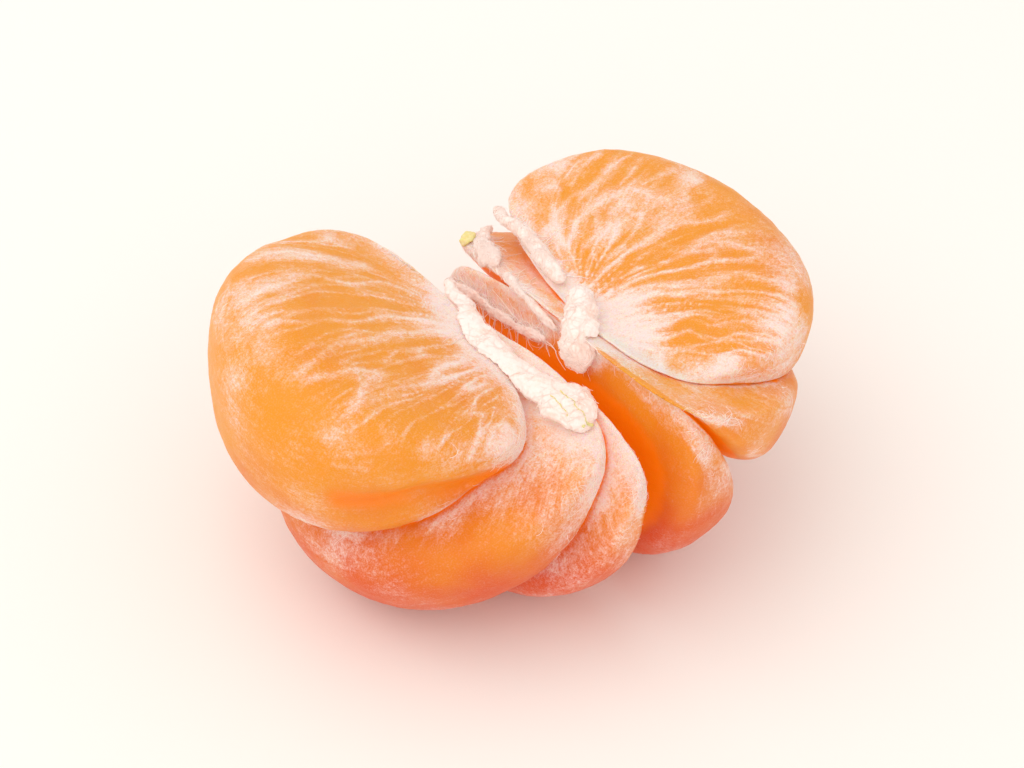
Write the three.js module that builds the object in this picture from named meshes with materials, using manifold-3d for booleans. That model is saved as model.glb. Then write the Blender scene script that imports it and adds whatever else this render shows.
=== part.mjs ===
import * as THREE from 'three';
import { mergeVertices } from 'three/addons/utils/BufferGeometryUtils.js';
import Module from 'manifold-3d';

// Half of a peeled mandarin, torn open along its core and fanned out: six segments on their backs, in two
// groups of three, with the white core torn between them. Millimetres, +Z up. The core runs along Y, stem end
// at +Y.

const wasm = await Module();
wasm.setup();

// fanAngle is a segment's place round the core: 0 is +X, 180 is -X and 270 is down. halfAngle is half its
// wedge, radius and halfHeight size its D-shaped side, tipShare says how far out its two tips lie, and lean
// brings its inner edge nearer the core at the stem end. A crease is a line of [x, y, z, depth].
const segments = {
  segment_left_end: {
    fanAngle: 182, halfAngle: 23.5, radius: 33, halfHeight: 20.5, shiftY: 6.5, shiftOut: 2,
    yaw: 0, taper: -0.08, tipShare: 0.38, twist: -2, lean: 2.4, stations: 34, sides: 44, seed: 3,
    creases: [{
      width: 1.9,
      line: [
        [-30.2, -7.4, -1, 0.3], [-27.4, -9.9, -1.6, 1.2], [-22.8, -12.5, -1.9, 1.9], [-17.1, -13.3, -3.4, 1.8],
        [-13.5, -13.6, -3.2, 0.5],
      ],
    }],
  },
  segment_left_second: {
    fanAngle: 219, halfAngle: 20, radius: 35, halfHeight: 20.5, shiftY: 0.5, shiftOut: 0,
    yaw: -8, taper: 0.06, tipShare: 0.38, twist: 2, lean: 0, stations: 28, sides: 32, seed: 8,
    creases: [{ width: 2.4, line: [[-14, -17, -7, 0.4], [-22, -12, -12, 0.4]] }],
  },
  segment_front: {
    fanAngle: 253, halfAngle: 14.5, radius: 30.5, halfHeight: 22.3, shiftY: -2, shiftOut: 0,
    yaw: -8, taper: 0.02, tipShare: 0.36, twist: 2, lean: 0, stations: 26, sides: 28, seed: 14, creases: [],
  },
  segment_front_right: {
    fanAngle: 281, halfAngle: 17.5, radius: 34.3, halfHeight: 22.4, shiftY: -1.1, shiftOut: -1,
    yaw: -7, taper: 0, tipShare: 0.36, twist: 0, lean: 0, rightGroup: true, stations: 26, sides: 28,
    seed: 21, creases: [],
  },
  segment_right_second: {
    fanAngle: 321, halfAngle: 19.5, radius: 32.3, halfHeight: 24.5, shiftY: 0, shiftOut: -2,
    yaw: -10, taper: -0.02, tipShare: 0.34, twist: -3, lean: 0, rightGroup: true, stations: 26, sides: 28,
    seed: 27, creases: [],
  },
  segment_right_end: {
    fanAngle: 351, halfAngle: 14.5, radius: 31.2, halfHeight: 21.5, shiftY: 3, shiftOut: 1.5,
    yaw: -12, taper: -0.02, tipShare: 0.5, twist: 3, lean: -0.9, rightGroup: true, stations: 30, sides: 38,
    seed: 35,
    creases: [{ width: 2.2, line: [[16, -12, 5, 0.5], [27, -14, 4.6, 0.5]] }],
  },
};
const rightGroupShift = [4, -2, 3];
const rightGroupTurn = 1; // degrees about Z
const rightGroupPitch = -4.5; // degrees about X
const innerRadius = 1; // the thin inner edge keeps this far from the core line
const sectionRound = 3.2; // power of the rounded wedge section
const swellHeight = 0.35; // juice sacs pushing the skin out
const neighbourGap = 0.35;
const pressSoftness = 0.25; // rounding where a segment is pressed flat
const floorDepth = 28.4; // the floor below the core line
const floorSoftness = 0.3;
const floorFlat = 0.1; // the resting spots are cut flat this far above the soft floor
const pithGap = 0.35;
const sliverSize = 0.03;

const materials = {
  flesh: new THREE.MeshStandardMaterial({ color: 0xf08a38, roughness: 0.5, metalness: 0 }),
  pith: new THREE.MeshStandardMaterial({ color: 0xf8ece2, roughness: 0.85, metalness: 0 }),
  yellow: new THREE.MeshStandardMaterial({ color: 0xe6cf5e, roughness: 0.7, metalness: 0 }),
};

const radians = THREE.MathUtils.degToRad;

function seededPhases(seed, count) {
  const phases = [];
  let state = seed * 7919 + 17;
  for (let i = 0; i < count; i += 1) {
    state = (state * 16807) % 2147483647;
    phases.push((state / 2147483647) * Math.PI * 2);
  }
  return phases;
}

function segmentFrame(shape) {
  const angle = radians(shape.fanAngle);
  const out = new THREE.Vector3(Math.cos(angle), 0, Math.sin(angle));
  const origin = out.clone().multiplyScalar(shape.shiftOut).add(new THREE.Vector3(0, shape.shiftY, 0));
  const along = new THREE.Vector3(0, 1, 0);
  const across = new THREE.Vector3(-Math.sin(angle), 0, Math.cos(angle));
  out.applyAxisAngle(across, radians(shape.yaw));
  along.applyAxisAngle(across, radians(shape.yaw));
  along.applyAxisAngle(out, radians(shape.twist));
  across.applyAxisAngle(out, radians(shape.twist));
  if (shape.rightGroup) {
    const turn = new THREE.Matrix4().makeRotationZ(radians(rightGroupTurn));
    turn.multiply(new THREE.Matrix4().makeRotationX(radians(rightGroupPitch)));
    for (const vector of [out, along, across, origin]) {
      vector.applyMatrix4(turn);
    }
    origin.add(new THREE.Vector3(...rightGroupShift));
  }
  return { origin, out, along, across };
}

// a smooth point of the plump wedge: lift runs from tip to tip, round goes about the section
function wedgePoint(shape, frame, lift, round) {
  const narrow = Math.max(Math.cos(lift), 0);
  const tipRadius = shape.tipShare * shape.radius;
  const fullRadius = shape.radius * (1 + shape.taper * Math.sin(lift));
  const outer = tipRadius + (fullRadius - tipRadius) * narrow ** 0.95;
  const lean = shape.lean * Math.sin(lift) * narrow ** 0.5;
  const inner = tipRadius - (tipRadius - innerRadius) * narrow ** 0.45 - lean;
  const halfAngle = radians(shape.halfAngle) * narrow ** 0.35;
  const c = Math.cos(round);
  const s = Math.sin(round);
  const reach = (Math.abs(c) ** sectionRound + Math.abs(s) ** sectionRound) ** (-1 / sectionRound);
  const distance = (outer + inner) / 2 + ((outer - inner) / 2) * reach * c;
  const angle = halfAngle * reach * s;
  return frame.origin.clone()
    .addScaledVector(frame.out, distance * Math.cos(angle))
    .addScaledVector(frame.along, shape.halfHeight * Math.sin(lift))
    .addScaledVector(frame.across, distance * Math.sin(angle));
}

function creaseDepth(point, crease) {
  let deepest = 0;
  for (let i = 1; i < crease.line.length; i += 1) {
    const [start, end] = [crease.line[i - 1], crease.line[i]];
    const line = new THREE.Line3(new THREE.Vector3(...start), new THREE.Vector3(...end));
    const share = line.closestPointToPointParameter(point, true);
    const depth = THREE.MathUtils.lerp(start[3], end[3], share);
    const distance = line.at(share, new THREE.Vector3()).distanceTo(point);
    deepest = Math.max(deepest, depth * Math.exp(-((distance / crease.width) ** 2)));
  }
  return deepest;
}

// juice sacs lie in rays from the inner edge outwards, and swell the skin a little
function swell(shape, phases, lift, round) {
  const rays = Math.sin(lift * 5 + phases[0]) * Math.sin(lift * 2.3 + phases[1]);
  const lumps = Math.sin(round * 3 + phases[2] + lift * 2) + Math.sin(round * 2 + phases[3] - lift * 3);
  return swellHeight * Math.cos(lift) * (rays * 0.6 + lumps * 0.4);
}

function surfacePoint(shape, frame, phases, lift, round) {
  const step = 0.01;
  const point = wedgePoint(shape, frame, lift, round);
  const alongSkin = wedgePoint(shape, frame, lift + step, round);
  alongSkin.sub(wedgePoint(shape, frame, lift - step, round));
  const aroundSkin = wedgePoint(shape, frame, lift, round + step);
  aroundSkin.sub(wedgePoint(shape, frame, lift, round - step));
  const normal = aroundSkin.cross(alongSkin).normalize();
  let height = swell(shape, phases, lift, round);
  for (const crease of shape.creases) {
    height -= creaseDepth(point, crease);
  }
  return point.addScaledVector(normal, -height);
}

// the plane midway between two neighbours' facing sides, its normal pointing to the second
function separator(first, second) {
  const sides = [[first, 1], [second, -1]].map(([shape, sign]) => {
    const frame = segmentFrame(shape);
    const angle = radians(shape.halfAngle);
    const side = frame.out.clone().multiplyScalar(Math.cos(angle));
    side.addScaledVector(frame.across, sign * Math.sin(angle));
    const normal = frame.across.clone().multiplyScalar(Math.cos(angle));
    normal.addScaledVector(frame.out, -sign * Math.sin(angle));
    return { normal, centre: frame.origin.clone().addScaledVector(side, 0.55 * shape.radius) };
  });
  const normal = sides[0].normal.clone().add(sides[1].normal).normalize();
  const middle = sides[0].centre.clone().add(sides[1].centre).multiplyScalar(0.5);
  return { normal, offset: normal.dot(middle) };
}

function softBelow(value, softness) {
  return -softness * Math.log(1 + Math.exp(-value / softness));
}

function pressBehind(point, normal, offset) {
  const excess = normal.dot(point) - offset;
  point.addScaledVector(normal, softBelow(excess, pressSoftness) - excess);
}

function pressOnFloor(point) {
  const height = point.z + floorDepth;
  const soft = -softBelow(-height, floorSoftness);
  point.z = Math.max(soft, floorFlat) - floorDepth;
}

function closedSkin(rings, firstTip, lastTip) {
  const sides = rings[0].length;
  const points = [firstTip, ...rings.flat(), lastTip];
  const last = points.length - 1;
  const index = [];
  for (let j = 0; j < sides; j += 1) {
    const next = (j + 1) % sides;
    index.push(0, 1 + j, 1 + next);
    for (let i = 0; i < rings.length - 1; i += 1) {
      const low = 1 + i * sides;
      const high = low + sides;
      index.push(low + j, high + next, low + next);
      index.push(low + j, high + j, high + next);
    }
    const top = 1 + (rings.length - 1) * sides;
    index.push(last, top + next, top + j);
  }
  const geometry = new THREE.BufferGeometry();
  geometry.setAttribute('position', new THREE.Float32BufferAttribute(points.flatMap((p) => p.toArray()), 3));
  geometry.setIndex(index);
  return geometry;
}

function segmentGeometry(names, name) {
  const shape = segments[name];
  const frame = segmentFrame(shape);
  const phases = seededPhases(shape.seed, 4);
  const place = names.indexOf(name);
  const planes = [];
  if (place > 0) {
    const { normal, offset } = separator(segments[names[place - 1]], shape);
    planes.push({ normal: normal.clone().negate(), offset: -offset - neighbourGap / 2 });
  }
  if (place < names.length - 1) {
    const { normal, offset } = separator(shape, segments[names[place + 1]]);
    planes.push({ normal, offset: offset - neighbourGap / 2 });
  }
  const settle = (point) => {
    for (const plane of planes) {
      pressBehind(point, plane.normal, plane.offset);
    }
    pressOnFloor(point);
    return point;
  };
  const rings = [];
  for (let i = 1; i < shape.stations; i += 1) {
    const share = (2 * i) / shape.stations - 1;
    const lift = (Math.PI / 2) * Math.sign(share) * (1 - (1 - Math.abs(share)) ** 1.4);
    const ring = [];
    for (let j = 0; j < shape.sides; j += 1) {
      ring.push(settle(surfacePoint(shape, frame, phases, lift, (2 * Math.PI * j) / shape.sides)));
    }
    rings.push(ring);
  }
  const tips = [-1, 1].map((end) => settle(wedgePoint(shape, frame, (end * Math.PI) / 2, 0)));
  return closedSkin(rings, tips[0], tips[1]);
}

// a band of pith swept along stations of [x, y, z, half width, half thickness], facing the given way
function bandGeometry({ stations, facing, sides = 10, steps = 24, ragged = 0, seed = 1 }) {
  const through = (pick) => new THREE.CatmullRomCurve3(stations.map((one) => new THREE.Vector3(...pick(one))));
  const centres = through(([x, y, z]) => [x, y, z]);
  const sizes = through(([, , , width, thick]) => [width, thick, 0]);
  const face = new THREE.Vector3(...facing);
  const phases = seededPhases(seed, 3);
  const rings = [];
  for (let i = 1; i < steps; i += 1) {
    const share = i / steps;
    const centre = centres.getPoint(share);
    const size = sizes.getPoint(share);
    const blunt = (1 - (2 * share - 1) ** 8) ** 0.5;
    const tear = 1 + ragged * (Math.sin(share * 31 + phases[0]) + Math.sin(share * 53 + phases[1])) / 2;
    const lump = 1 + ragged * Math.sin(share * 23 + phases[2]) * 0.6;
    const side = new THREE.Vector3().crossVectors(centres.getTangent(share), face).normalize();
    const out = new THREE.Vector3().crossVectors(side, centres.getTangent(share)).normalize();
    const ring = [];
    for (let j = 0; j < sides; j += 1) {
      const angle = (2 * Math.PI * j) / sides;
      ring.push(centre.clone()
        .addScaledVector(side, Math.cos(angle) * size.x * blunt * tear)
        .addScaledVector(out, Math.sin(angle) * size.y * blunt * lump));
    }
    rings.push(ring);
  }
  return closedSkin(rings, centres.getPoint(0), centres.getPoint(1));
}

function toSolid(geometry) {
  const bare = geometry.clone();
  bare.deleteAttribute('normal');
  bare.deleteAttribute('uv');
  const merged = mergeVertices(bare, 1e-4);
  return new wasm.Manifold(new wasm.Mesh({
    numProp: 3,
    vertProperties: new Float32Array(merged.attributes.position.array),
    triVerts: new Uint32Array(merged.index.array),
  }));
}

function toGeometry(solid) {
  const mesh = solid.getMesh();
  const geometry = new THREE.BufferGeometry();
  geometry.setAttribute('position', new THREE.BufferAttribute(new Float32Array(mesh.vertProperties), 3));
  geometry.setIndex(new THREE.BufferAttribute(new Uint32Array(mesh.triVerts), 1));
  return geometry;
}

// the segment grown by the pith's gap along its own normals
function grownSolid(geometry) {
  const grown = geometry.clone();
  grown.computeVertexNormals();
  const { position, normal } = grown.attributes;
  for (let i = 0; i < position.count; i += 1) {
    const point = new THREE.Vector3().fromBufferAttribute(position, i);
    const outwards = new THREE.Vector3().fromBufferAttribute(normal, i);
    point.addScaledVector(outwards, pithGap);
    position.setXYZ(i, point.x, point.y, point.z);
  }
  return toSolid(grown);
}

// the largest body left, without the slivers that a cut leaves
function largestPart(solid) {
  const parts = solid.simplify(sliverSize).decompose();
  parts.sort((a, b) => b.volume() - a.volume());
  return parts[0];
}

// stations from the stem end (+Y) to the blossom end (-Y)
const pithPieces = {
  pith_core_left: {
    slot: 'pith', facing: [0.1, -0.15, 0.98], sides: 12, steps: 30, ragged: 0.14, seed: 5,
    stations: [
      [-0.2, 12.4, -0.6, 0.5, 0.35], [-1.1, 9.9, -0.3, 1.0, 0.5], [-1.9, 7.6, -0.2, 1.5, 0.6],
      [-3.6, 2.9, 0.7, 1.9, 0.7], [-4.1, -0.4, 0.6, 1.9, 0.7], [-3.9, -3.2, 0.3, 1.8, 0.7],
      [-3.7, -5.8, 0.1, 1.8, 0.8], [-3.0, -9.1, 0, 2.2, 1], [-2.6, -12.2, 0.3, 3.2, 1.2],
      [-2.6, -15.1, 0.2, 2.8, 1.1], [-2.5, -17, -0.6, 1.2, 0.7],
    ],
  },
  pith_core_right: {
    slot: 'pith', facing: [-0.6, -0.3, 0.74], sides: 12, steps: 22, ragged: 0.18, seed: 9,
    stations: [
      [8.2, -1.6, 4.0, 0.9, 0.9], [6.6, -3.6, 4.3, 1.5, 1.3], [4.9, -5.8, 4.4, 1.9, 1.5],
      [3.2, -7.5, 4.0, 2.1, 1.4], [2.1, -8.5, 2.3, 2.1, 1.2], [2.3, -8.2, -0.4, 1.3, 0.7],
    ],
  },
  pith_cord_right: {
    slot: 'pith', facing: [-0.6, 0, 0.8], sides: 8, steps: 24, ragged: 0.12, seed: 12,
    stations: [
      [11.2, 16.9, 1.3, 0.8, 0.7], [10.3, 14.4, 1.9, 0.6, 0.6], [10.0, 10.8, 2.7, 0.8, 0.8],
      [9.2, 7.6, 3.2, 0.85, 0.8], [8.2, 4.0, 3.5, 0.9, 0.9], [7.4, 0.3, 3.9, 0.9, 0.9],
    ],
  },
  pith_cord_middle: {
    slot: 'pith', facing: [-0.6, 0, 0.8], sides: 8, steps: 20, ragged: 0.12, seed: 16,
    stations: [
      [4.6, 7.4, 1.3, 0.6, 0.5], [4.0, 4.6, 1.9, 0.55, 0.5], [3.6, 1.2, 2.0, 0.5, 0.5],
      [3.4, -1.4, 1.7, 0.5, 0.5], [3.3, -3.6, 1.6, 0.55, 0.5],
    ],
  },
  pith_strip: {
    slot: 'pith', facing: [-0.9, 0, 0.4], sides: 8, steps: 24, ragged: 0.16, seed: 18,
    stations: [
      [3.9, 17.2, -6.3, 0.4, 0.35], [3.7, 13.8, -4.8, 0.6, 0.4], [3.6, 10.9, -4.2, 0.55, 0.4],
      [3.4, 7.8, -3.9, 0.6, 0.4], [3.2, 4.8, -3.1, 0.55, 0.45], [3.1, 2.0, -2.5, 0.55, 0.45],
      [3.1, -0.3, -1.6, 0.6, 0.5], [3.2, -2.2, -0.9, 0.6, 0.5],
    ],
  },
  pith_stem_end: {
    slot: 'pith', facing: [-0.5, 0, 0.87], sides: 10, steps: 20, ragged: 0.2, seed: 23,
    stations: [
      [11.2, 17.8, -2.0, 0.45, 0.4], [9.3, 16.9, -1.9, 0.7, 0.5], [7.4, 15, -1.2, 1.1, 0.6],
      [6.0, 12, 0, 1.3, 0.7], [5.3, 9.6, 0.8, 0.9, 0.6],
    ],
  },
  stem_bit: {
    slot: 'yellow', facing: [0, 0, 1], sides: 8, steps: 8, ragged: 0.12, seed: 29,
    stations: [[8.3, 18.2, -1.9, 0.5, 0.4], [7.3, 17.4, -1.8, 0.9, 0.7], [6.2, 17.2, -2.2, 0.4, 0.4]],
  },
};

function buildPieces() {
  const pieces = [];
  const names = Object.keys(segments);
  const taken = [];
  for (const name of names) {
    const geometry = segmentGeometry(names, name);
    pieces.push({ name, slot: 'flesh', geometry });
    taken.push(grownSolid(geometry));
  }
  for (const [name, piece] of Object.entries(pithPieces)) {
    let solid = toSolid(bandGeometry(piece));
    for (const other of taken) {
      solid = solid.subtract(other);
    }
    const part = largestPart(solid);
    const geometry = toGeometry(part);
    pieces.push({ name, slot: piece.slot, geometry });
    taken.push(grownSolid(geometry));
  }
  return pieces;
}

const pieces = buildPieces();
const bounds = new THREE.Box3();
for (const { geometry } of pieces) {
  geometry.computeBoundingBox();
  bounds.union(geometry.boundingBox);
}
const centre = bounds.getCenter(new THREE.Vector3());

const mandarin = new THREE.Group();
for (const { name, slot, geometry } of pieces) {
  geometry.translate(-centre.x, -centre.y, -bounds.min.z);
  geometry.computeVertexNormals();
  const mesh = new THREE.Mesh(geometry, materials[slot]);
  mesh.name = name;
  mandarin.add(mesh);
}

export default mandarin;
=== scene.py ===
import math
import random

import bmesh
import bpy
import numpy as np
from mathutils import Matrix, Vector, noise
from mathutils.bvhtree import BVHTree
from mathutils.kdtree import KDTree


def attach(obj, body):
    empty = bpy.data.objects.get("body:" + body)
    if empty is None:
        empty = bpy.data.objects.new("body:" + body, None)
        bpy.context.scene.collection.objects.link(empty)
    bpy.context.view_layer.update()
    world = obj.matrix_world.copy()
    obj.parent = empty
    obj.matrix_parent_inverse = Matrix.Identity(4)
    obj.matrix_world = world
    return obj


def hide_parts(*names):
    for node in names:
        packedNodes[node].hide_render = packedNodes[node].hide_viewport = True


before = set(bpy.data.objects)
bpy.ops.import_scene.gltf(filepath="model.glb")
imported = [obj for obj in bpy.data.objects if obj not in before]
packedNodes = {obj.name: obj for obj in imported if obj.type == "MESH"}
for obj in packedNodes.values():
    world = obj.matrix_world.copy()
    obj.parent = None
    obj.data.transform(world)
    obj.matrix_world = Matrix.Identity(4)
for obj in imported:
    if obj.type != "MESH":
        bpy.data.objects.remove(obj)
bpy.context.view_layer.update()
mm = 0.001
scene = bpy.context.scene
print("fruit: packed solids loaded")

# where the core line's middle lies in the part's frame, and how the right group is turned, in mm and degrees
fan = {"middle": (-0.65, 0.789, 28.3), "rightShift": (4, -2, 3), "rightTurn": 1, "rightPitch": -4.5}

# the camera stands where the fruit was seen from; targetPixel is where the core line's middle shows
look = {"azimuth": -41.5, "elevation": 44, "roll": 3, "distance": 325, "focalPixels": 2821,
        "targetPixel": (514, 334), "frame": (1024, 768), "sensor": 36}


class Signal:  # an output of a node that can stand in a sum
    def __init__(self, board, socket):
        self.board = board
        self.socket = socket

    def __add__(self, other):
        return self.board.maths("ADD", self, other)

    def __radd__(self, other):
        return self.board.maths("ADD", other, self)

    def __sub__(self, other):
        return self.board.maths("SUBTRACT", self, other)

    def __rsub__(self, other):
        return self.board.maths("SUBTRACT", other, self)

    def __mul__(self, other):
        return self.board.maths("MULTIPLY", self, other)

    def __rmul__(self, other):
        return self.board.maths("MULTIPLY", other, self)

    def size(self):
        return self.board.maths("ABSOLUTE", self, 0.0)

    def between(self, low, high):  # 0 at low, 1 at high, eased
        return self.board.node("ShaderNodeMapRange", {"interpolation_type": "SMOOTHSTEP"},
                               {"Value": self, "From Min": low, "From Max": high})


class Tree:  # nodes and the links between them
    def __init__(self, tree):
        self.tree = tree

    def node(self, kind, settings=None, sockets=None, out=0):
        made = self.tree.nodes.new(kind)
        for name, value in (settings or {}).items():
            setattr(made, name, value)
        for key, value in (sockets or {}).items():
            self.feed(made.inputs[key], value)
        return made if out is None else Signal(self, made.outputs[out])

    def feed(self, target, value):
        if isinstance(value, Signal):
            self.tree.links.new(value.socket, target)
        else:
            target.default_value = value

    def maths(self, operation, first, second):
        return self.node("ShaderNodeMath", {"operation": operation}, {0: first, 1: second})


class Board(Tree):  # the nodes of one material
    def __init__(self, name):
        self.material = bpy.data.materials.new(name)
        self.material.use_nodes = True
        super().__init__(self.material.node_tree)
        self.surface = self.tree.nodes["Principled BSDF"]

    def mix(self, factor, first, second):
        first, second = ((*c, 1) if isinstance(c, tuple) else c for c in (first, second))
        return self.node("ShaderNodeMix", {"data_type": "RGBA"}, {0: factor, 6: first, 7: second}, 2)

    def shift(self, vector, other, operation="ADD"):
        return self.node("ShaderNodeVectorMath", {"operation": operation}, {0: vector, 1: other})

    def place(self):
        return self.node("ShaderNodeTexCoord", out=3)

    def own(self, name, out=2):  # an attribute of the piece: 1 as a vector, 2 as a number
        return self.node("ShaderNodeAttribute", {"attribute_name": name}, out=out)

    def cloud(self, vector, scale, detail=2.0, roughness=0.5, out=0):
        return self.node("ShaderNodeTexNoise", {}, {
            "Vector": vector, "Scale": scale, "Detail": detail, "Roughness": roughness}, out)

    def finish(self, **sockets):
        for name, value in sockets.items():
            label = name.replace("_", " ")
            colour = "Color" in label and isinstance(value, tuple)
            self.feed(self.surface.inputs[label], (*value, 1) if colour else value)
        return self.material


class Recipe(Tree):  # a Geometry Nodes tree with named inputs, kept as a plain mesh once it has run
    def __init__(self, name, inputs):
        super().__init__(bpy.data.node_groups.new(name, "GeometryNodeTree"))
        face = self.tree.interface
        face.new_socket("Geometry", in_out="INPUT", socket_type="NodeSocketGeometry")
        face.new_socket("Geometry", in_out="OUTPUT", socket_type="NodeSocketGeometry")
        self.keys = {}
        for label, value in inputs.items():
            kind = "NodeSocketInt" if isinstance(value, int) else "NodeSocketFloat"
            made = face.new_socket(label, in_out="INPUT", socket_type=kind)
            made.default_value = value
            self.keys[label] = made.identifier
        start = self.node("NodeGroupInput", out=None)
        self.given = Signal(self, start.outputs["Geometry"])
        self.asked = {label: Signal(self, start.outputs[label]) for label in inputs}

    def finish(self, result, material):
        whole = self.node("GeometryNodeRealizeInstances", {}, {"Geometry": result})
        coated = self.node("GeometryNodeSetMaterial", {}, {"Geometry": whole, "Material": material})
        end = self.node("NodeGroupOutput", out=None)
        self.feed(end.inputs["Geometry"], coated)
        return self

    def put(self, piece, values):
        modifier = piece.modifiers.new(self.tree.name, "NODES")
        modifier.node_group = self.tree
        for label, value in values.items():
            modifier[self.keys[label]] = value


# the same numbers as the solids have, in mm and degrees, with what the skin needs: endFace is the side that
# is a torn D-shaped face, bareSide a smooth one, film how much white pith stays on; flow tells how the veins
# run over the torn face: each row is a start (out, along), a heading and where on the rim it ends, in degrees
leftFlow = ((3, 8, 88, 80), (3.3, 4, 82, 66), (3.5, 1.6, 70, 26), (3.9, -0.5, 32, 12), (4.3, -4, 13, -12),
            (4.4, -8.5, 4, -26), (4.4, -10, -7, -42), (4.2, -11.5, -12, -64), (4.1, -12.9, -20, -76),
            (4, -15, -36, -84))
rightFlow = ((4.2, 3, 88, 82), (4.6, 0.5, 80, 62), (5.4, -0.5, 50, 44), (5.6, -1, 30, 10), (5.2, -3, 20, -9),
             (4.6, -4.6, 14, -33), (4.4, -6.4, 6, -52), (4.2, -8.2, -4, -63),
             (4, -10, -20, -74), (4, -13, -48, -84))
# how full a segment's outline is
wedge = {"outerPower": 0.95, "innerPower": 0.45, "leanPower": 0.5, "sidePower": 0.35}
segments = {
    "segment_left_end": {
        "fanAngle": 182, "halfAngle": 23.5, "radius": 33, "halfHeight": 20.5, "shiftY": 6.5, "shiftOut": 2,
        "yaw": 0, "taper": -0.08, "tipShare": 0.38, "twist": -2, "lean": 2.4, "right": False, "endFace": -1,
        "bareSide": 0, "film": 0.3, "veins": 1, "flow": leftFlow},
    "segment_left_second": {
        "fanAngle": 219, "halfAngle": 20, "radius": 35, "halfHeight": 20.5, "shiftY": 0.5, "shiftOut": 0,
        "yaw": -8, "taper": 0.06, "tipShare": 0.38, "twist": 2, "lean": 0, "right": False, "endFace": -1,
        "bareSide": 0, "film": 0.3, "veins": 0.25, "flow": leftFlow},
    "segment_front": {
        "fanAngle": 253, "halfAngle": 14.5, "radius": 30.5, "halfHeight": 22.3, "shiftY": -2, "shiftOut": 0,
        "yaw": -8, "taper": 0.02, "tipShare": 0.36, "twist": 2, "lean": 0, "right": False, "endFace": -1,
        "bareSide": 1, "film": 0.36, "veins": 0.25, "flow": leftFlow},
    "segment_front_right": {
        "fanAngle": 281, "halfAngle": 17.5, "radius": 34.3, "halfHeight": 22.4, "shiftY": -1.1,
        "shiftOut": -1, "yaw": -7, "taper": 0, "tipShare": 0.36, "twist": 0, "lean": 0, "right": True,
        "endFace": 1, "bareSide": -1, "film": 0.26, "veins": 0.3, "flow": rightFlow},
    "segment_right_second": {
        "fanAngle": 321, "halfAngle": 19.5, "radius": 32.3, "halfHeight": 24.5, "shiftY": 0, "shiftOut": -2,
        "yaw": -10, "taper": -0.02, "tipShare": 0.34, "twist": -3, "lean": 0, "right": True, "endFace": 1,
        "bareSide": -1, "film": 0.36, "veins": 0.3, "flow": rightFlow},
    "segment_right_end": {
        "fanAngle": 351, "halfAngle": 14.5, "radius": 31.2, "halfHeight": 21.5, "shiftY": 3, "shiftOut": 1.5,
        "yaw": -12, "taper": -0.02, "tipShare": 0.5, "twist": 3, "lean": -0.9, "right": True, "endFace": 1,
        "bareSide": 0, "film": 0.32, "veins": 1.1, "flow": rightFlow},
}
# where more or less white film stays on, in the fan's own mm: place, size, amount
filmSpots = (
    (-29, 12, 8, 4, 0.32), (-29, 17, 6, 4, 0.4), (-34, 8, 4, 3.5, 0.35), (24, -21, 4, 3, 0.55),
    (30, -15, 4, 3, 0.4),
    (20, -23, 2.5, 3, 0.4), (32, 5.5, 3.5, 2.5, 0.45), (7.5, -13, 4, 4, 0.5), (8, -7.5, 3.5, 3, 0.35),
    (11, -20, 4, 3, 0.3), (-5, 2, 1, 4.5, 0.4), (-3, 8.5, 0.5, 4, 0.35), (-4, -9, -1, 4, 0.3),
    (-30.5, -5.5, 6.5, 2.5, 0.4), (-29, -9, 4.5, 3, 0.25), (-7, -15, -2, 4, 0.25),
    (-2.5, -18.5, -0.5, 3, 0.4),
    (-4.5, -21, -7, 2.5, 0.35), (-1.5, -24, -2, 3, 0.35), (-32, -2, -8.5, 4, 0.4), (-28.5, -5.5, -12, 4, 0.4),
    (-20.5, -12.5, -8, 3, 0.4), (-16, -13.5, -6, 3, 0.4), (-11, -14.5, -4, 3, 0.35),
    (11.5, -27.5, -4.5, 3, 0.5),
    (9.5, -24.5, 3, 3, 0.1), (19, -26.5, -1, 3, 0.35), (11, -6.5, 4, 3, 0.4), (-23, -16, -10.5, 5, -0.5),
    (-17.5, -19.5, -14, 4, -0.2), (4.5, -27.5, -4, 4, -0.2), (-21, 7, 8, 6, -0.25), (-25.5, -8, 6.5, 4, -0.2),
    (14, -16, 4.5, 3.5, -0.35), (27, -12, 5, 4, -0.2), (20, 12.5, 3, 4, -0.35), (-15, -3, 6, 6, -0.15))
# how much each thing adds to the film or takes from it, and how far that reaches in mm; deep is painted shade
# that takes the white film away in the gaps
filmForm = {"own": 0.7, "core": 0.55, "coreReach": 2.6, "rim": 0.25, "tips": 0.15, "lips": 0.35,
            "patches": 0.3, "patchSize": 8.0, "pith": 0.5, "pithReach": 1.2, "halo": 0.15, "haloReach": 3,
            "bare": 0.6, "clearReach": 1.5, "deep": 0.9, "most": 1.2}
# the fold below the rim of the left end segment, in the fan's own mm, along which shade is painted
foldForm = {"line": ((-30.2, -7.4, -1), (-27.4, -9.9, -1.6), (-22.8, -12.5, -1.9), (-17.1, -13.3, -3.4),
                     (-13.5, -13.6, -3.2)), "width": 1.7, "foldShadeFilmLoss": 0.9}
fleshForm = {"levels": 3, "quickLevels": 2, "fullness": 0.12, "lumpHeight": 0.1, "lumpSize": 3.2,
             "grainHeight": 0.03, "grainSize": 0.8, "flatBelow": 0.5}
veinForm = {"lines": 90, "steps": 40, "relief": 0.13, "broad": 11, "broadLength": 1.6, "fine": 27,
            "fineLength": 2.6, "fineShare": 0.75, "fade": 0.45, "bow": 0.45, "rimShare": 0.96,
            "overrun": 1.05, "thin": 3.6, "sway": 0.35}
shadeForm = {"rays": 48, "reach": 16, "start": 0.4, "fade": 0.6}  # how near other pieces are, in mm


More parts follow.
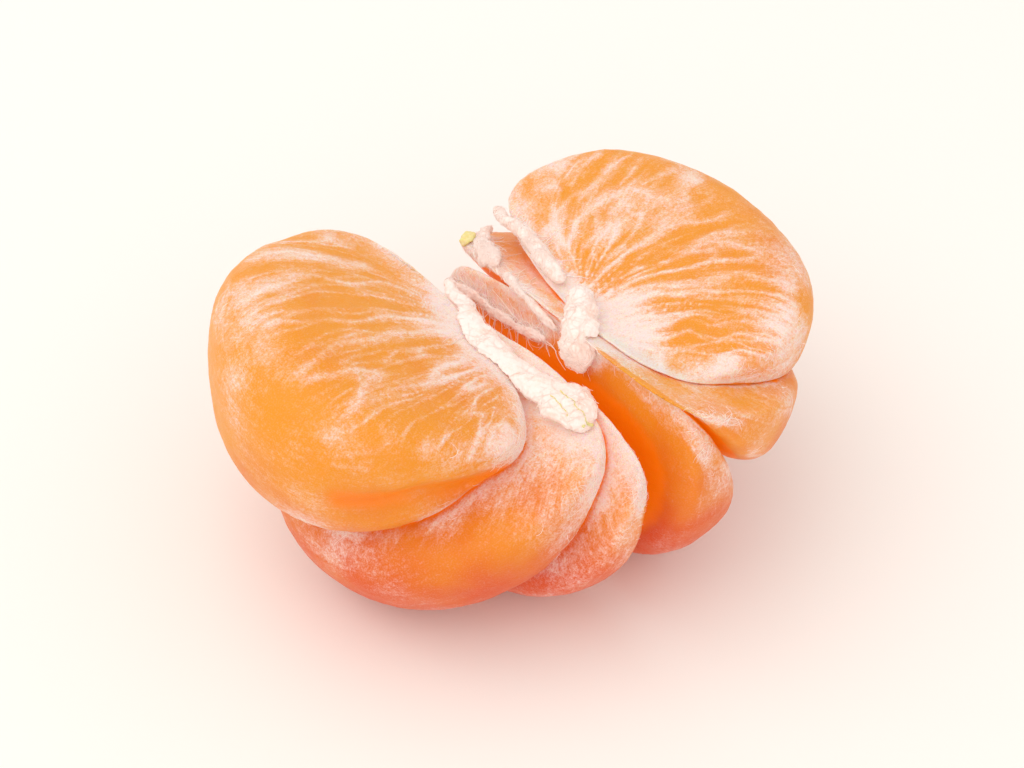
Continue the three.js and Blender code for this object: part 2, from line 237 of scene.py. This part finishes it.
def segmentFrame(shape):
    angle = math.radians(shape["fanAngle"])
    out = Vector((math.cos(angle), 0, math.sin(angle)))
    origin = out * shape["shiftOut"] + Vector((0, shape["shiftY"], 0))
    across = Vector((-math.sin(angle), 0, math.cos(angle)))
    yaw = Matrix.Rotation(math.radians(shape["yaw"]), 3, across)
    out, along = yaw @ out, yaw @ Vector((0, 1, 0))
    twist = Matrix.Rotation(math.radians(shape["twist"]), 3, out)
    along, across = twist @ along, twist @ across
    if shape["right"]:
        turn = Matrix.Rotation(math.radians(fan["rightTurn"]), 3, "Z")
        turn = turn @ Matrix.Rotation(math.radians(fan["rightPitch"]), 3, "X")
        out, along, across, origin = turn @ out, turn @ along, turn @ across, turn @ origin
        origin = origin + Vector(fan["rightShift"])
    return origin + Vector(fan["middle"]), out, along, across


def segmentPlaces(points, shape):  # points in mm as an n x 3 array: where each lies in the wedge
    origin, out, along, across = segmentFrame(shape)
    rel = points - np.array(origin)
    o, y, a = (rel @ np.array(axis) for axis in (out, along, across))
    rho = np.hypot(o, a)
    lift = np.arcsin(np.clip(y / shape["halfHeight"], -0.9999, 0.9999))
    narrow = np.cos(lift)
    tip = shape["tipShare"] * shape["radius"]
    full = shape["radius"] * (1 + shape["taper"] * np.sin(lift))
    outer = tip + (full - tip) * narrow ** wedge["outerPower"]
    inner = tip - (tip - 1) * narrow ** wedge["innerPower"]
    inner = inner - shape["lean"] * np.sin(lift) * narrow ** wedge["leanPower"]
    half = math.radians(shape["halfAngle"]) * narrow ** wedge["sidePower"]
    return {"out": o, "along": y, "across": a, "rho": rho, "inner": inner, "lift": lift,
            "side": np.arctan2(a, o) / half, "reach": (rho - inner) / np.maximum(outer - inner, 0.5)}


def smooth(value, low, high):
    t = np.clip((value - low) / (high - low), 0, 1)
    return t * t * (3 - 2 * t)


def peak(value, centre, width):
    return np.exp(-((value - centre) / width) ** 2)


def newObject(name, mesh):
    made = bpy.data.objects.new(name, mesh)
    scene.collection.objects.link(made)
    return made


def bakeModifiers(piece):  # the piece's mesh as its modifiers leave it
    seen = piece.evaluated_get(bpy.context.evaluated_depsgraph_get())
    mesh = bpy.data.meshes.new_from_object(seen)
    mesh.name = piece.name
    piece.modifiers.clear()
    old = piece.data
    piece.data = mesh
    bpy.data.meshes.remove(old)
    return mesh


def mergedCopy(nodeName, name):
    mesh = bpy.data.meshes.new(name)
    work = bmesh.new()
    work.from_mesh(packedNodes[nodeName].data)
    bmesh.ops.remove_doubles(work, verts=work.verts, dist=0.002 * mm)
    bmesh.ops.join_triangles(work, faces=work.faces, angle_face_threshold=math.radians(40),
                             angle_shape_threshold=math.radians(60))
    work.to_mesh(mesh)
    work.free()
    return newObject(name, mesh)


def divide(piece, levels):
    finer = piece.modifiers.new("divide", "SUBSURF")
    finer.levels = finer.render_levels = levels
    return bakeModifiers(piece)


def readPoints(mesh):
    flat = np.zeros(len(mesh.vertices) * 3, np.float32)
    mesh.vertices.foreach_get("co", flat)
    return flat.reshape(-1, 3).astype(float)


def readNormals(mesh):
    flat = np.zeros(len(mesh.vertices) * 3, np.float32)
    mesh.vertex_normals.foreach_get("vector", flat)
    return flat.reshape(-1, 3).astype(float)


def writePoints(mesh, points):
    mesh.vertices.foreach_set("co", points.astype(np.float32).ravel())
    mesh.update()


def readNumber(mesh, name):
    flat = np.zeros(len(mesh.vertices), np.float32)
    mesh.attributes[name].data.foreach_get("value", flat)
    return flat.astype(float)


def writeNumber(mesh, name, values):
    layer = mesh.attributes.get(name) or mesh.attributes.new(name, "FLOAT", "POINT")
    layer.data.foreach_set("value", np.asarray(values, np.float32))


def writeVector(mesh, name, values):
    layer = mesh.attributes.new(name, "FLOAT_VECTOR", "POINT")
    layer.data.foreach_set("vector", np.asarray(values, np.float32).ravel())


def lumps(points, size, octaves, seed):  # smooth random heights at points in mm
    shift = Vector((seed * 7.3, seed * 3.1, seed * 5.7))
    return np.array([noise.fractal(Vector(p) / size + shift, 1.0, 2.0, octaves) for p in points])


def solidTree(names):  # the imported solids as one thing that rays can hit, in mm
    points, faces = [], []
    for name in names:
        mesh = packedNodes[name].data
        first = len(points)
        points += [v.co / mm for v in mesh.vertices]
        faces += [[first + i for i in face.vertices] for face in mesh.polygons]
    return BVHTree.FromPolygons(points, faces)


def dome(count):  # directions spread evenly over a half ball about +Z, more of them near the pole
    golden = math.pi * (3 - math.sqrt(5))
    turns = [(i + 0.5) / count for i in range(count)]
    return [Vector((math.sqrt(t) * math.cos(golden * i), math.sqrt(t) * math.sin(golden * i),
                    math.sqrt(1 - t))) for i, t in enumerate(turns)]


def closeness(points, normals, around):  # 0 in the open, towards 1 deep in a gap
    spread, reach = dome(shadeForm["rays"]), shadeForm["reach"]
    found = []
    for point, normal in zip(points, normals):
        normal = Vector(normal)
        turn = normal.to_track_quat("Z", "Y")
        start = Vector(point) + normal * shadeForm["start"]
        hits = 0
        for ray in spread:
            distance = around.ray_cast(start, turn @ ray, reach)[3]
            if distance is not None:
                hits += 1 - shadeForm["fade"] * distance / reach
        found.append(hits / len(spread))
    return np.array(found)


# veins over the torn faces, as a grid of places along their ways, from the core to the rim
def flowLines(shape):  # out and along, in mm
    knots = np.array(shape["flow"], float)
    at = np.linspace(0, len(knots) - 1, veinForm["lines"])
    startOut, startAlong, heading, lift = (np.interp(at, range(len(knots)), knots[:, i]) for i in range(4))
    lift, heading = np.radians(lift), np.radians(heading)
    tip = shape["tipShare"] * shape["radius"]
    full = shape["radius"] * (1 + shape["taper"] * np.sin(lift))
    rim = (tip + (full - tip) * np.cos(lift) ** wedge["outerPower"]) * veinForm["rimShare"]
    start = np.stack([startOut, startAlong], 1)
    end = np.stack([rim, shape["halfHeight"] * np.sin(lift)], 1)
    reach = veinForm["bow"] * np.linalg.norm(end - start, axis=1)
    bow = start + reach[:, None] * np.stack([np.cos(heading), np.sin(heading)], 1)
    t = np.linspace(0, veinForm["overrun"], veinForm["steps"])[None, :, None]
    return start[:, None] * (1 - t) ** 2 + 2 * bow[:, None] * t * (1 - t) + end[:, None] * t ** 2


def flowPlaces(out, along, shape):  # which vein way each place lies on, and how far along it
    grid = flowLines(shape)
    lines, steps = grid.shape[:2]
    near = KDTree(lines * steps)
    for i, (o, y) in enumerate(grid.reshape(-1, 2)):
        near.insert((o, y, 0), i)
    near.balance()
    found = np.array([near.find((o, y, 0))[1] for o, y in zip(out, along)])
    j, k = np.minimum(found // steps, lines - 2), np.minimum(found % steps, steps - 2)
    here, side, ahead = grid[j, k], grid[j + 1, k] - grid[j, k], grid[j, k + 1] - grid[j, k]
    off = np.stack([out, along], 1) - here
    area = side[:, 0] * ahead[:, 1] - side[:, 1] * ahead[:, 0]
    area = np.where(np.abs(area) < 1e-6, 1e-6, area)
    across = (off[:, 0] * ahead[:, 1] - off[:, 1] * ahead[:, 0]) / area
    onward = (side[:, 0] * off[:, 1] - side[:, 1] * off[:, 0]) / area
    way = (j + np.clip(across, -2, 2)) / (lines - 1)
    return way, (k + np.clip(onward, -2, 2)) / (steps - 1)


def ridges(way, run, count, length, seed):  # thin branching lines that run along the veins' ways
    sway = veinForm["sway"]
    found = [abs(noise.noise((w * count + sway * noise.noise((w * 9, r * 6, seed)), r * length, seed * 3.7)))
             for w, r in zip(way, run)]
    return np.clip(1 - np.array(found) * veinForm["thin"], 0, 1)


def foldDistance(points):  # from points in the part's mm to the fold's line
    line = [Vector(p) + Vector(fan["middle"]) for p in foldForm["line"]]
    found = np.full(len(points), 99.0)
    for first, second in zip(line, line[1:]):
        a, ab = np.array(first), np.array(second - first)
        t = np.clip((points - a) @ ab / (ab @ ab), 0, 1)
        found = np.minimum(found, np.linalg.norm(points - a - t[:, None] * ab, axis=1))
    return found


def skinFields(places, shape, closed, pithNear, points, seed):
    near = np.exp(-np.maximum(places["rho"] - places["inner"], 0) / filmForm["coreReach"])  # by the core
    side, reach = np.abs(places["side"]), places["reach"]
    flat = smooth(side, 0.78, 0.95) * (1 - smooth(reach, 0.9, 1.0))
    sign = np.sign(places["side"])
    torn, bare = flat * (sign == shape["endFace"]), flat * (sign == shape["bareSide"])
    rim = peak(side, 0.95, 0.12) * peak(reach, 0.93, 0.09)
    tips = smooth(np.abs(places["lift"]), 1.05, 1.5)
    lip = peak(closed, 0.5, 0.13) * (1 - torn)
    patches = lumps(points, filmForm["patchSize"], 3, seed)
    film = shape["film"] * filmForm["own"] + filmForm["core"] * near + filmForm["rim"] * rim
    film = film + filmForm["tips"] * tips + filmForm["lips"] * lip + filmForm["patches"] * patches
    film = film + filmForm["pith"] * np.exp(-(pithNear / filmForm["pithReach"]) ** 2)
    film = film + filmForm["halo"] * np.exp(-pithNear / filmForm["haloReach"])
    for x, y, z, size, amount in filmSpots:
        spot = np.linalg.norm(points - np.array(fan["middle"]) - (x, y, z), axis=1) / size
        film = film + amount * np.exp(-spot ** 2)
    clear = 1 - np.exp(-(pithNear / filmForm["clearReach"]) ** 2)
    film = film - bare * filmForm["bare"] * clear
    # painted shade: deep in the gaps, and on the bare sides already at half depth, the white film is taken
    # away and the flesh is later painted deep orange
    deep = np.maximum(smooth(closed, 0.66, 0.9), bare * smooth(closed, 0.3, 0.6)) * clear
    film = film - filmForm["deep"] * deep
    fuzz = np.clip(film - 0.35 + 0.5 * rim, 0, 1) * (1 - smooth(closed, 0.4, 0.6))
    return np.clip(film, 0, filmForm["most"]), torn, fuzz, deep


def makeSegment(index, nodeName, shape, around, pithTree):
    piece = mergedCopy(nodeName, nodeName + "_skin")
    coarse = divide(piece, 1)
    points = readPoints(coarse) / mm
    writeNumber(coarse, "closed", closeness(points, readNormals(coarse), around))
    writeNumber(coarse, "pithNear", [pithTree.find_nearest(Vector(p))[3] for p in points])
    mesh = divide(piece, fleshForm["levels"] - 1)
    points, normals = readPoints(mesh) / mm, readNormals(mesh)
    places = segmentPlaces(points, shape)
    closed = readNumber(mesh, "closed")
    film, torn, fuzz, deep = skinFields(places, shape, closed, readNumber(mesh, "pithNear"), points, index)
    rays = np.stack([places["across"] * 0.022, places["along"] * 0.03, np.full(len(points), index * 0.37)],
                    1)  # the third number keeps one segment's pattern apart from the next
    vein = np.zeros(len(points))
    face = np.flatnonzero(torn > 0.01)
    way, run = flowPlaces(places["out"][face], places["along"][face], shape)
    rays[face, 0], rays[face, 1] = way, run
    broad = ridges(way, run, veinForm["broad"], veinForm["broadLength"], index)
    fine = ridges(way, run, veinForm["fine"], veinForm["fineLength"], index + 5)
    fade = 1 - veinForm["fade"] * np.clip(run, 0, 1)
    both = np.maximum(broad ** 1.5, fine ** 2 * veinForm["fineShare"])
    vein[face] = both * fade * torn[face] * shape["veins"]
    if nodeName == "segment_left_end":
        # painted shade along the fold: it is given the gaps' deep orange and loses its white film and veins,
        # and no fuzz threads start there
        fold = np.exp(-(foldDistance(points) / foldForm["width"]) ** 2)
        deep = np.maximum(deep, fold)
        film, vein = film * (1 - foldForm["foldShadeFilmLoss"] * fold), vein * (1 - fold)
        fuzz = fuzz * (1 - fold)
    vein = vein * (1 - smooth(closed, 0.5, 0.75))
    height = fleshForm["fullness"] + fleshForm["lumpHeight"] * lumps(points, fleshForm["lumpSize"], 2, index)
    height = height + fleshForm["grainHeight"] * lumps(points, fleshForm["grainSize"], 2, index + 20)
    height = height + veinForm["relief"] * vein
    height = np.where(points[:, 2] < fleshForm["flatBelow"], 0, height)  # the resting spot stays flat
    writePoints(mesh, (points + normals * height[:, None]) * mm)
    writeVector(mesh, "rays", rays)
    # painted shade: the flesh is painted redder and darker low down and towards -Y, where less light falls
    top = smooth(points[:, 2], 4, 32) * 0.8 + smooth(points[:, 1], -22, 22) * 0.2
    fields = {"film": film, "vein": vein, "fuzz": fuzz, "deep": deep, "paintedLowShade": 1 - top}
    for name, values in fields.items():
        writeNumber(mesh, name, values)
    mesh.shade_smooth()
    return piece


# flesh: colours, then how many times a pattern repeats over the torn face or in a metre
# deep is the colour of the painted shade in the gaps and along the fold
# honey and ember are the upper, lit tone and the lower, shaded tone: painted light and shade, with random
# tone mixed in
# lit is the colour of the painted glow in the gaps and along the fold
fleshFinish = {"honey": (0.87, 0.315, 0.012), "ember": (0.74, 0.085, 0.004), "deep": (0.74, 0.155, 0.001),
               "lit": (0.2, 0.055, 0), "film": (0.93, 0.78, 0.73), "roughness": 0.42, "soft": 2.5,
               "feather": (26, 2.6, 9), "thread": (120, 6, 9), "sway": 260, "patches": 330, "fuzz": 1700,
               "specks": 5200, "hairs": 900, "hairWidth": 0.018, "tint": 110}


def curls(board, vector, scale, width):  # thin curly lines, as fibres stuck to the skin make
    field = board.node("ShaderNodeTexNoise", {}, {
        "Vector": vector, "Scale": scale, "Detail": 1.5, "Roughness": 0.5, "Distortion": 1.6})
    return 1 - (field - 0.5).size().between(width * 0.3, width)


def fleshSkin():
    board = Board("mandarinFlesh")
    place = board.place()
    rays, film, vein = board.own("rays", 1), board.own("film"), board.own("vein")
    paintedLowShade, deep, closed = board.own("paintedLowShade"), board.own("deep"), board.own("closed")
    sway = board.cloud(place, fleshFinish["sway"], 3, 0.55, 1)
    swayed = board.node("ShaderNodeVectorMath", {"operation": "MULTIPLY_ADD"}, {
        0: sway, 1: (0.03, 0.03, 0), 2: rays})
    # both are drawn out along the veins
    feather = board.cloud(board.shift(swayed, fleshFinish["feather"], "MULTIPLY"), 1.0, 1, 0.6)
    thread = board.cloud(board.shift(swayed, fleshFinish["thread"], "MULTIPLY"), 1.0, 2, 0.7)
    patchy = board.cloud(place, fleshFinish["patches"], 4, 0.6)
    fuzz = board.cloud(place, fleshFinish["fuzz"], 4, 0.75)
    speck = board.cloud(place, fleshFinish["specks"], 1, 0.5)
    hairs = curls(board, place, fleshFinish["hairs"], fleshFinish["hairWidth"])
    hairs = hairs * patchy.between(0.4, 0.62) * film.between(0.15, 0.6)
    cover = film * 0.95 + vein * 0.82 + (feather - 0.5) * 0.5
    cover = cover + (thread - 0.5) * 0.6 + (patchy - 0.5) * 0.5
    cover = cover + (fuzz - 0.5) * 1.1 - 0.12
    white = cover.between(-0.15, 1.2)
    white = (white * 0.9 + hairs * 0.3 + (speck - 0.5) * (0.5 + white * 0.5) + 0.02).between(-0.05, 1.05)
    # painted shade: the white film fades in the gaps and along the fold
    white = white * (1 - deep * 0.92) * 0.94
    tint = board.cloud(place, fleshFinish["tint"], 2, 0.5)
    # painted shade: honey higher up, ember lower down, with random tone mixed in
    orange = board.mix((paintedLowShade + (tint - 0.5) * 0.8).between(0, 1), fleshFinish["honey"], fleshFinish["ember"])
    # painted shade: the flesh turns deep orange in the gaps and along the fold
    orange = board.mix(deep, orange, fleshFinish["deep"])
    colour = board.mix(white, orange, fleshFinish["film"])
    relief = vein * 0.3 + fuzz * 0.5 + speck * 0.4
    bump = board.node("ShaderNodeBump", {}, {"Strength": 0.6, "Distance": 0.2 * mm, "Height": relief})
    # painted glow: the gaps and the fold give off a faint deep orange light of their own, standing in for
    # light through the flesh
    lit = board.mix((deep + closed.between(0.5, 0.95) * 0.8).between(0, 1), (0, 0, 0), fleshFinish["lit"])
    return board.finish(
        Base_Color=colour, Roughness=white * 0.35 + fleshFinish["roughness"], Normal=bump,
        Emission_Color=lit, Emission_Strength=1.0, Subsurface_Weight=0.45,
        Subsurface_Radius=(1.0, 0.35, 0.1), Subsurface_Scale=fleshFinish["soft"] * mm,
        Specular_IOR_Level=0.3, Coat_Roughness=0.4, Coat_Weight=0.05)


fleshMaterial = fleshSkin()
skins = {}
around = solidTree(segments)
pithTree = solidTree(name for name in packedNodes if name.startswith("pith"))
for index, (nodeName, shape) in enumerate(segments.items()):
    piece = makeSegment(index + 1, nodeName, shape, around, pithTree)
    piece.data.materials.clear()
    piece.data.materials.append(fleshMaterial)
    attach(piece, "root")
    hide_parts(nodeName)
    skins[nodeName] = piece
    print("fruit: skinned", nodeName, len(piece.data.polygons))


# pith: sizes in mm, colours, and how many times a pattern repeats in a metre
pithForm = {"voxel": 0.13, "fullness": 0.04, "lumpHeight": 0.2, "lumpSize": 1.1, "grainHeight": 0.07,
            "grainSize": 0.35}
# glow is a painted light that the pith gives off, lifting its shaded parts
pithFinish = {"white": (0.93, 0.81, 0.755), "blush": (0.92, 0.62, 0.48), "roughness": 0.7,
              "glow": (0.15, 0.11, 0.095), "patches": 420, "fuzz": 2600}
yellowFinish = {"dark": (0.78, 0.62, 0.14), "light": (0.90, 0.82, 0.5), "fuzz": 1800}


def pithSkin():
    board = Board("mandarinPith")
    place = board.place()
    patchy = board.cloud(place, pithFinish["patches"], 4, 0.6)
    fuzz = board.cloud(place, pithFinish["fuzz"], 4, 0.7)
    blush = (patchy * 0.6 + fuzz * 0.4).between(0.46, 0.66)
    bump = board.node("ShaderNodeBump", {}, {"Strength": 0.7, "Distance": 0.15 * mm, "Height": fuzz + patchy})
    return board.finish(
        Base_Color=board.mix(blush * 0.45, pithFinish["white"], pithFinish["blush"]), Normal=bump,
        # painted light: the pith gives off a faint light of its own that lifts its shaded parts
        Roughness=pithFinish["roughness"], Emission_Color=pithFinish["glow"], Emission_Strength=1.0,
        Specular_IOR_Level=0.25)


def yellowSkin():
    board = Board("mandarinStemYellow")
    fuzz = board.cloud(board.place(), yellowFinish["fuzz"], 3, 0.6)
    bump = board.node("ShaderNodeBump", {}, {"Strength": 0.5, "Distance": 0.15 * mm, "Height": fuzz})
    return board.finish(
        Base_Color=board.mix(fuzz, yellowFinish["dark"], yellowFinish["light"]), Normal=bump, Roughness=0.6,
        Subsurface_Weight=0.4, Subsurface_Radius=(1.0, 0.7, 0.2), Subsurface_Scale=1.0 * mm)


pithMaterial = pithSkin()
yellowMaterial = yellowSkin()


def makePith(index, nodeName, voxel):
    piece = mergedCopy(nodeName, nodeName + "_soft")
    remesh = piece.modifiers.new("remesh", "REMESH")
    remesh.mode = "VOXEL"
    remesh.voxel_size = voxel * mm
    fine = bakeModifiers(piece)
    points, normals = readPoints(fine) / mm, readNormals(fine)
    height = pithForm["fullness"] + pithForm["lumpHeight"] * lumps(points, pithForm["lumpSize"], 3, index)
    height = height + pithForm["grainHeight"] * lumps(points, pithForm["grainSize"], 2, index + 9)
    writePoints(fine, (points + normals * height[:, None]) * mm)
    writeNumber(fine, "fuzz", np.ones(len(points)))
    fine.shade_smooth()
    return piece


softPieces = {}
for index, nodeName in enumerate(["pith_core_left", "pith_core_right", "pith_cord_right", "pith_cord_middle",
                                  "pith_strip", "pith_stem_end", "stem_bit"]):
    piece = makePith(index, nodeName, pithForm["voxel"])
    piece.data.materials.clear()
    piece.data.materials.append(yellowMaterial if nodeName == "stem_bit" else pithMaterial)
    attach(piece, "root")
    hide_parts(nodeName)
    softPieces[nodeName] = piece
    print("fruit: pith", nodeName, len(piece.data.polygons))


# threads of pith lying over the skin and the pith, in mm; sides is how many sides a thread has
webForm = {"count": 1300, "length": (1.5, 6), "thick": (0.03, 0.1), "curl": 0.45, "wander": 0.2, "lift": 0.2,
           "sides": 3}
fuzzForm = {"count": 1700, "length": (0.5, 2.6), "thick": (0.02, 0.04), "curl": 0.9, "wander": 0.25,
            "lift": 0.22, "sides": 3}
frayForm = {"count": 700, "length": (0.4, 1.3), "thick": (0.03, 0.07), "curl": 0.9, "wander": 0.3,
            "lift": 0.5, "sides": 3}
threadForm = {"step": 0.35, "taper": 0.6, "gapDepth": 0.78, "gapClear": 0.7}


def threadRecipe(material):
    recipe = Recipe("threads", {"Sides": 4})
    way = recipe.node("GeometryNodeMeshToCurve", {}, {"Mesh": recipe.given})
    thickness = recipe.node("GeometryNodeInputNamedAttribute", {"data_type": "FLOAT"}, {"Name": "thickness"})
    ring = recipe.node("GeometryNodeCurvePrimitiveCircle", {}, {
        "Resolution": recipe.asked["Sides"], "Radius": 1.0})
    tube = recipe.node("GeometryNodeCurveToMesh", {}, {
        "Curve": way, "Profile Curve": ring, "Scale": thickness, "Fill Caps": True})
    return recipe.finish(recipe.node("GeometryNodeSetShadeSmooth", {}, {"Geometry": tube}), material)


def groundTree(pieces):  # the finished surfaces in mm, for threads to lie on
    points, faces, first = [], [], 0
    for piece in pieces:
        own = readPoints(piece.data) / mm
        corners = np.zeros(len(piece.data.loops), np.int32)
        piece.data.loops.foreach_get("vertex_index", corners)
        starts = np.zeros(len(piece.data.polygons), np.int32)
        piece.data.polygons.foreach_get("loop_start", starts)
        faces += [part.tolist() for part in np.split(corners + first, starts[1:])]
        points += own.tolist()
        first += len(own)
    return BVHTree.FromPolygons(points, faces)


def deepTree(pieces):  # places deep in the gaps, in mm
    deepPlaces = [Vector(p) / mm for piece in pieces for p, deep in zip(
        readPoints(piece.data)[::9], readNumber(piece.data, "closed")[::9]) if deep > threadForm["gapDepth"]]
    found = KDTree(len(deepPlaces))
    for i, place in enumerate(deepPlaces):
        found.insert(place, i)
    found.balance()
    return found


def layThread(start, heading, ground, gaps, form, draw):  # points on the ground, each with a thickness
    length, thick = draw.uniform(*form["length"]), draw.uniform(*form["thick"])
    step, taper = threadForm["step"], threadForm["taper"]
    steps = max(3, round(length / step))
    curl = draw.uniform(-1, 1) * form["curl"]
    lift = draw.uniform(0.2, 1) * form["lift"]
    row, point = [], start
    for k in range(steps + 1):
        spot, normal = ground.find_nearest(point)[:2]
        if gaps.find(spot)[2] < threadForm["gapClear"]:  # threads stay out of the deep gaps
            break
        row.append((spot + normal * (thick * 0.5 + lift * (k / steps) ** 2), thick * (1 - taper * k / steps)))
        heading = heading - normal * heading.dot(normal)
        heading = Matrix.Rotation(curl * step + draw.gauss(0, form["wander"]), 3, normal) @ heading
        if heading.length < 0.01:
            break
        heading.normalize()
        point = spot + heading * step
    return row


def threadMesh(name, rows):
    points, edges, thick = [], [], []
    for row in rows:
        first = len(points)
        points += [spot * mm for spot, _ in row]
        thick += [value * mm for _, value in row]
        edges += [(first + i, first + i + 1) for i in range(len(row) - 1)]
    mesh = bpy.data.meshes.new(name)
    mesh.from_pydata(points, edges, [])
    writeNumber(mesh, "thickness", thick)
    return mesh


def startsOn(piece, field, count, draw):  # places on a piece, more of them where the field is strong
    points = readPoints(piece.data) / mm
    weights = np.maximum(readNumber(piece.data, field), 0) ** 2
    total = weights.sum()
    if total == 0:
        return []
    picked = np.searchsorted(np.cumsum(weights) / total, [draw.random() for _ in range(count)])
    return [Vector(points[min(i, len(points) - 1)]) for i in picked]


def anyWay(draw):
    return Vector((draw.gauss(0, 1), draw.gauss(0, 1), draw.gauss(0, 1))).normalized()


def makeThreads(name, sources, ground, gaps, form, recipe, seed):
    draw = random.Random(seed)
    share = form["count"] // len(sources)
    rows = [layThread(start, anyWay(draw), ground, gaps, form, draw)
            for source in sources for start in startsOn(source, "fuzz", share, draw)]
    rows = [row for row in rows if len(row) > 2]
    piece = newObject(name, threadMesh(name, rows))
    recipe.put(piece, {"Sides": form["sides"]})
    mesh = bakeModifiers(piece)
    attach(piece, "root")
    print("fruit: threads", name, len(mesh.polygons))


gaps = deepTree(skins.values())
threads = threadRecipe(pithMaterial)
softPith = [softPieces[name] for name in softPieces if name != "stem_bit"]
ground = groundTree([*skins.values(), *softPith])
makeThreads("pith_web", softPith, ground, gaps, webForm, threads, 3)
makeThreads("pith_fray", softPith, ground, gaps, frayForm, threads, 5)


vesselForm = {"steps": 16, "lift": 0.3, "waver": 0.05, "sides": 6}


def yellowLine(line, ground, draw):  # a thin vessel over the torn block, from fan places in mm
    start, end = (Vector(line[name]) + Vector(fan["middle"]) for name in ("start", "end"))
    thick, steps = line["thick"], vesselForm["steps"]
    return [(spot + normal * thick * vesselForm["lift"], thick) for spot, normal in (
        ground.find_nearest(start.lerp(end, k / steps) + anyWay(draw) * vesselForm["waver"])[:2]
        for k in range(steps + 1))]


vessels = ({"start": (-3.9, -11.1, 1.5), "end": (-4, -15.5, 0), "thick": 0.09},
           {"start": (-2.7, -11.3, 1.6), "end": (-2.9, -16.4, 0.3), "thick": 0.1},
           {"start": (-3.8, -15.4, 0.2), "end": (-2.3, -16.9, 0.2), "thick": 0.22})
draw = random.Random(12)
lines = newObject("pith_vessels", threadMesh("pith_vessels", [
    yellowLine(line, ground, draw) for line in vessels]))
yellowThreads = threadRecipe(yellowMaterial)
yellowThreads.put(lines, {"Sides": vesselForm["sides"]})
bakeModifiers(lines)
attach(lines, "root")
makeThreads("skin_threads", list(skins.values()), ground, gaps, fuzzForm, threads, 7)


# camera, floor and light
def placeCamera():
    azimuth, elevation, roll = (math.radians(look[k]) for k in ("azimuth", "elevation", "roll"))
    back = Vector((math.sin(azimuth) * math.cos(elevation), -math.cos(azimuth) * math.cos(elevation),
                   math.sin(elevation)))
    right = Vector((math.cos(azimuth), math.sin(azimuth), 0))
    up = back.cross(right)
    right, up = right * math.cos(roll) + up * math.sin(roll), up * math.cos(roll) - right * math.sin(roll)
    wide, high = look["frame"]
    away = back - right * ((wide / 2 - look["targetPixel"][0]) / look["focalPixels"])
    away = (away + up * ((high / 2 - look["targetPixel"][1]) / look["focalPixels"])).normalized()
    right = up.cross(away).normalized()
    up = away.cross(right)
    lens = bpy.data.cameras.new("camera")
    lens.sensor_width = look["sensor"]
    lens.lens = look["sensor"] * look["focalPixels"] / wide
    lens.clip_start = 0.01
    camera = bpy.data.objects.new("camera", lens)
    spot = (Vector(fan["middle"]) + back * look["distance"]) * mm
    turn = Matrix((right, up, away)).transposed()
    camera.matrix_world = Matrix.Translation(spot) @ turn.to_4x4()
    scene.collection.objects.link(camera)
    scene.camera = camera


studio = {"floor": (0.975, 0.92, 0.87), "floorReach": 3.0, "floorTop": -0.00005, "world": (1.0, 0.995, 0.985),
          "worldStrength": 0.85, "lamps": (1.0, 0.97, 0.93), "aim": (0, 0, 0.015),
          "key": {"place": (-0.3, 0.2, 0.75), "size": 0.9, "power": 2.2},
          "fill": {"place": (-0.4, -0.5, 0.5), "size": 0.9, "power": 1.0}}


def makeFloor():
    board = Board("floorPaper")
    material = board.finish(Base_Color=studio["floor"], Roughness=0.9, Specular_IOR_Level=0.1)
    mesh = bpy.data.meshes.new("floor")
    reach, top = studio["floorReach"], studio["floorTop"]
    mesh.from_pydata([(-reach, -reach, top), (reach, -reach, top), (reach, reach, top), (-reach, reach, top)],
                     [], [(0, 1, 2, 3)])
    mesh.materials.append(material)
    floor = newObject("floor", mesh)


def makeLamp(name, values):
    lamp = bpy.data.lights.new(name, "AREA")
    lamp.size = values["size"]
    lamp.energy = values["power"]
    lamp.color = studio["lamps"]
    holder = bpy.data.objects.new(name, lamp)
    spot = Vector(values["place"])
    turn = (spot - Vector(studio["aim"])).to_track_quat("Z", "Y").to_matrix().to_4x4()
    holder.matrix_world = Matrix.Translation(spot) @ turn
    scene.collection.objects.link(holder)


placeCamera()
makeFloor()
makeLamp("keyLamp", studio["key"])
makeLamp("fillLamp", studio["fill"])
scene.world = bpy.data.worlds.new("studio")
scene.world.use_nodes = True
background = scene.world.node_tree.nodes["Background"]
background.inputs["Color"].default_value = (*studio["world"], 1)
background.inputs["Strength"].default_value = studio["worldStrength"]
scene.view_settings.view_transform = "Standard"
print("fruit: camera, floor and light set")
